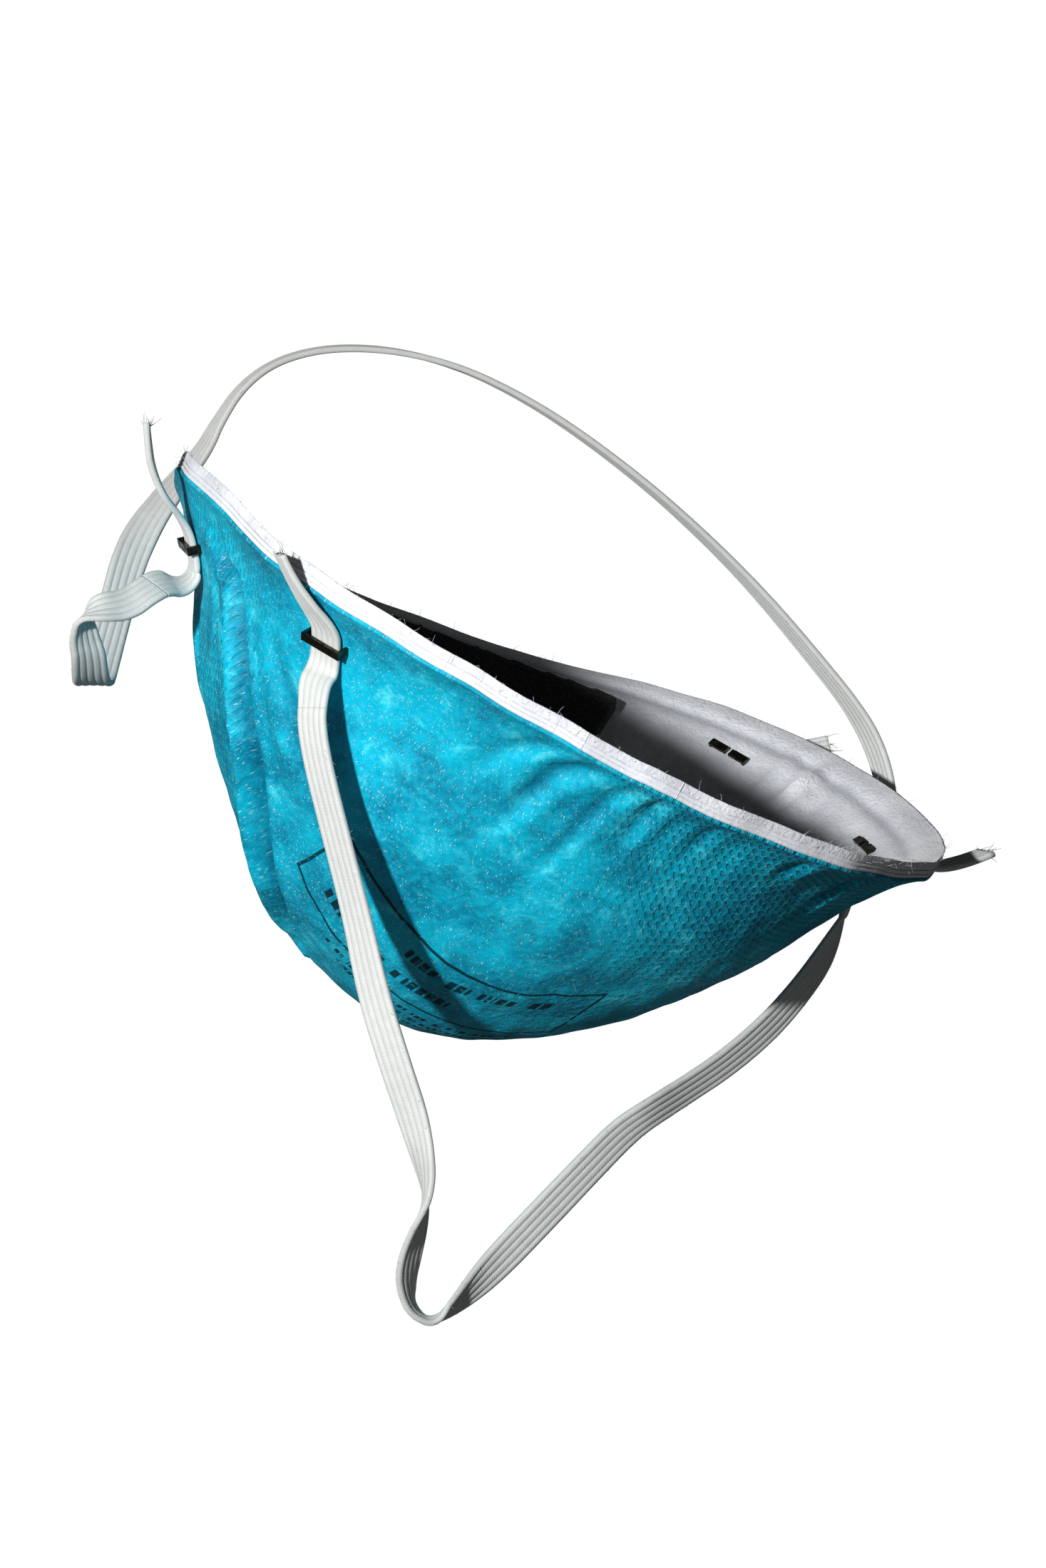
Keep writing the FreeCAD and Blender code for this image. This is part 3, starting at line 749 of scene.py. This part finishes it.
chin = ramp(tree, calc(tree, "MULTIPLY_ADD", where.outputs[0], 0.35,
                       calc(tree, "MULTIPLY", where.outputs[1], -1.0)), 0.040, 0.062, 0.06, 1.0)
cheek = ramp(tree, calc(tree, "MULTIPLY_ADD", where.outputs[1], 0.55,
                        calc(tree, "MULTIPLY", where.outputs[0], -0.35)), 0.010, 0.022, 0.0, 0.45)
bond = calc(tree, "MULTIPLY", bond, calc(tree, "MAXIMUM", chin, cheek))
tone = tint(tree, calc(tree, "MULTIPLY", bond, 0.45), tone, (0.0, 0.10, 0.14, 1))
# A plain outline box and rows of plain bars stand where such masks carry their stamp.
STAMP = (-0.0132, -0.0239, 0.0)
stamp = add_node(tree, "VectorRotate", {"Vector": place, "Center": STAMP, "Angle": 0.298},
                 rotation_type="Z_AXIS").outputs[0]
stamp = add_node(tree, "VectorMath", {0: stamp, 1: STAMP}, operation="SUBTRACT").outputs[0]
mark = add_node(tree, "SeparateXYZ", {0: stamp})
inside = calc(tree, "MAXIMUM",
              calc(tree, "SUBTRACT", calc(tree, "ABSOLUTE", mark.outputs[0]), 0.0240),
              calc(tree, "SUBTRACT", calc(tree, "ABSOLUTE", mark.outputs[1]), 0.0062))
ink = ramp(tree, calc(tree, "ABSOLUTE", inside), 0.00030, 0.00016)
for across, half, first, last, dash in ((0.0088, 0.00065, -0.015, 0.020, 620.0),
                                        (0.0111, 0.00065, -0.010, 0.022, 700.0),
                                        (0.0134, 0.00065, -0.004, 0.019, 660.0),
                                        (0.0021, 0.0010, -0.020, 0.006, 420.0),
                                        (-0.0031, 0.0010, -0.006, 0.019, 380.0)):
    row = ramp(tree, calc(tree, "ABSOLUTE", calc(tree, "SUBTRACT", mark.outputs[1], across)),
               half, half - 0.0002)
    span = calc(tree, "MULTIPLY", ramp(tree, mark.outputs[0], first, first + 0.0003),
                ramp(tree, mark.outputs[0], last, last - 0.0003))
    word = add_node(tree, "TexNoise", {"W": calc(tree, "MULTIPLY_ADD", mark.outputs[0], dash,
                                                 across * 9000), "Scale": 1.0, "Detail": 1.0},
                    noise_dimensions="1D").outputs[0]
    pitch = calc(tree, "MULTIPLY", mark.outputs[0], 0.6 / half)
    gap = ramp(tree, calc(tree, "FRACT", pitch), 0.20, 0.30)
    bar = calc(tree, "MULTIPLY", calc(tree, "MULTIPLY", row, span),
               calc(tree, "MULTIPLY", gap, ramp(tree, word, 0.42, 0.45)))
    ink = calc(tree, "MAXIMUM", ink, bar)
ink = calc(tree, "MULTIPLY", ink, ramp(tree, fine, 0.30, 0.42))
outside = calc(tree, "LESS_THAN", where.outputs[2], -0.006)
ink = calc(tree, "MULTIPLY", ink, outside)
tone = tint(tree, calc(tree, "MULTIPLY", ink, 0.92), tone, (0.0, 0.012, 0.02, 1))
relief = calc(tree, "MULTIPLY_ADD", bond, -1.1,
              calc(tree, "MULTIPLY_ADD", strands, 0.5, calc(tree, "MULTIPLY", fine, 0.8)))
close_material(tree, tone, ramp(tree, fine, 0.3, 0.7, 0.45, 0.7), relief, 0.00035, 0.7,
               sheen_weight=0.0, specular_ior_level=0.22)

# Felt shell and filter webs: white polyester fibre, matt, cloudy and a little fuzzy.
def felt_material(name, pale, dull, scale, depth):
    material, tree = new_material(name)
    place = add_node(tree, "TexCoord").outputs["Object"]
    cloud = add_node(tree, "TexNoise", {"Vector": place, "Scale": scale, "Detail": 6.0,
                                        "Roughness": 0.65}).outputs[0]
    fuzz = add_node(tree, "TexNoise", {"Vector": place, "Scale": 1500.0, "Detail": 3.0,
                                       "Distortion": 0.6}).outputs[0]
    web = add_node(tree, "UVMap").outputs[0]
    strand = calc(tree, "MAXIMUM", fleck(tree, web, 0.4, 60.0, 420.0, 0.70),
                  fleck(tree, web, 1.9, 60.0, 400.0, 0.71))
    tone = tint(tree, ramp(tree, cloud, 0.35, 0.65), dull, pale)
    tone = tint(tree, calc(tree, "MULTIPLY", strand, 0.35), tone, (1, 1, 1, 1))
    weld = add_node(tree, "Attribute", attribute_name="weld").outputs["Fac"]
    tone = tint(tree, calc(tree, "MULTIPLY", weld, 0.75), tone, (0.30, 0.32, 0.36, 1))
    relief = calc(tree, "MULTIPLY_ADD", fuzz, 0.8,
                  calc(tree, "MULTIPLY_ADD", strand, 0.5, calc(tree, "MULTIPLY", cloud, 1.2)))
    close_material(tree, tone, 0.85, relief, depth, 0.8, sheen_weight=0.3)
    return material


shell_felt = felt_material("shell_felt", (0.80, 0.82, 0.86, 1), (0.66, 0.68, 0.73, 1), 140.0,
                           0.0004)
filter_fibre = felt_material("filter_fibre", (0.80, 0.82, 0.86, 1), (0.72, 0.74, 0.78, 1), 220.0,
                             0.0002)

cover = pressed_layer("cover_web", 460, 160, 30)
cover.data.materials.append(cover_cloth)
for name in ("filter_web_outer", "filter_web_inner"):
    layer = pressed_layer(name, 220, 60, 30)
    layer.data.materials.append(filter_fibre)
shell = pressed_layer("inner_shell", 320, 60, 110, weld=0.6 * MM)
shell.data.materials.append(shell_felt)

# The cut edge of the felt sheds loose fibres all round.
draw = np.random.default_rng(31)
skin = np.array([vertex.co for vertex in shell.data.vertices])
edge = skin[np.hypot(skin[:, 0] / (CUP_WIDTH / 2), skin[:, 1] / (CUP_HEIGHT / 2)) > 0.985]
roots = []
for start in edge[draw.integers(0, len(edge), 520)]:
    away = np.array([start[0], start[1], 0]) / np.hypot(start[0], start[1])
    heading = (away * draw.uniform(0.0, 0.8) + [0, 0, draw.uniform(-0.5, 1.0)]
               + draw.normal(0, 0.5, 3))
    roots.append((start, heading, draw.uniform(0.5, 1.7) * MM))
fuzz = loose_fibres("rim_fuzz", roots, 0.055 * MM, 32)
fuzz.data.materials.append(shell_felt)
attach(fuzz, "cup")

# --- Nose foam -----------------------------------------------------------------------------------
# A strip of open-cell foam glued inside the nose. Its cut edges are soft, so the CAD strip is
# copied, closed, remeshed fine and smoothed, and its skin is pitted like cut foam.
foam = nodes["nose_foam"].copy()
foam.data = nodes["nose_foam"].data.copy()
foam.parent = None
for key in list(foam.keys()):
    del foam[key]
foam.hide_render = foam.hide_viewport = False
foam.name = foam.data.name = "nose_foam_pad"
scene.collection.objects.link(foam)
tidy_skin(foam, 1e-6)
for kind, settings in (("REMESH", {"mode": "VOXEL", "voxel_size": 0.0007}),
                       ("SMOOTH", {"factor": 0.6, "iterations": 5})):
    modifier = foam.modifiers.new(kind.lower(), kind)
    for label, value in settings.items():
        setattr(modifier, label, value)
    bpy.ops.object.modifier_apply(modifier=modifier.name)
bpy.ops.object.shade_smooth()
foam.data.materials.clear()
foam_grey, tree = new_material("nose_foam_grey")
place = add_node(tree, "TexCoord").outputs["Object"]
cells = add_node(tree, "TexVoronoi", {"Vector": place, "Scale": 2200.0}).outputs["Distance"]
cloud = add_node(tree, "TexNoise", {"Vector": place, "Scale": 300.0, "Detail": 4.0}).outputs[0]
# Painted shade: the pores at the cell centres are darker than the cell walls between them.
tone = tint(tree, ramp(tree, cells, 0.1, 0.6), (0.004, 0.004, 0.004, 1), (0.030, 0.030, 0.029, 1))
tone = tint(tree, calc(tree, "MULTIPLY", cloud, 0.4), tone, (0.012, 0.012, 0.012, 1))
close_material(tree, tone, 0.9, cells, 0.0004, 0.9, sheen_weight=0.1)
foam.data.materials.append(foam_grey)
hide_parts("nose_foam")
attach(foam, "cup")

# --- Nose clip and staples -----------------------------------------------------------------------
# The clip is a soft aluminium strip, brushed along its length and dulled by handling. The staples
# are flat steel wire, coloured near black as painted dark reflection. Both keep their CAD solids
# and take a worked metal finish.
wear, take, give = node_group(
    "edge_and_smear", [("Place", "Vector", None), ("Scale", "Float", 200.0)],
    [("Smear", "Float"), ("Scratch", "Float")])
smear = add_node(wear, "TexNoise", {"Vector": take["Place"], "Scale": take["Scale"], "Detail": 5.0})
stretch = add_node(wear, "VectorMath", {0: take["Place"], 1: (120, 2600, 2600)},
                   operation="MULTIPLY")
scratch = add_node(wear, "TexNoise", {"Vector": stretch.outputs[0], "Scale": 1.0, "Detail": 3.0})
wear.links.new(ramp(wear, smear.outputs[0], 0.35, 0.7), give["Smear"])
wear.links.new(scratch.outputs[0], give["Scratch"])
for names, label, bright, dull, low, high, scale in (
        (["nose_clip"], "clip_aluminium", (0.78, 0.79, 0.80, 1), (0.55, 0.56, 0.58, 1),
         0.28, 0.5, 160.0),
        # The staples are coloured near black: painted dark reflection.
        ([n for n in nodes if n.startswith("staple_")], "staple_steel", (0.10, 0.085, 0.06, 1),
         (0.012, 0.012, 0.012, 1), 0.25, 0.45, 900.0)):
    metal, tree = new_material(label)
    place = add_node(tree, "TexCoord").outputs["Object"]
    worn = add_node(tree, "Group", node_tree=wear)
    tree.links.new(place, worn.inputs["Place"])
    worn.inputs["Scale"].default_value = scale
    tone = tint(tree, worn.outputs["Smear"], bright, dull)
    close_material(tree, tone, ramp(tree, worn.outputs["Smear"], 0, 1, low, high),
                   worn.outputs["Scratch"], 0.00004, 0.5, metallic=1.0)
    for name in names:
        nodes[name].data.materials.clear()
        nodes[name].data.materials.append(metal)
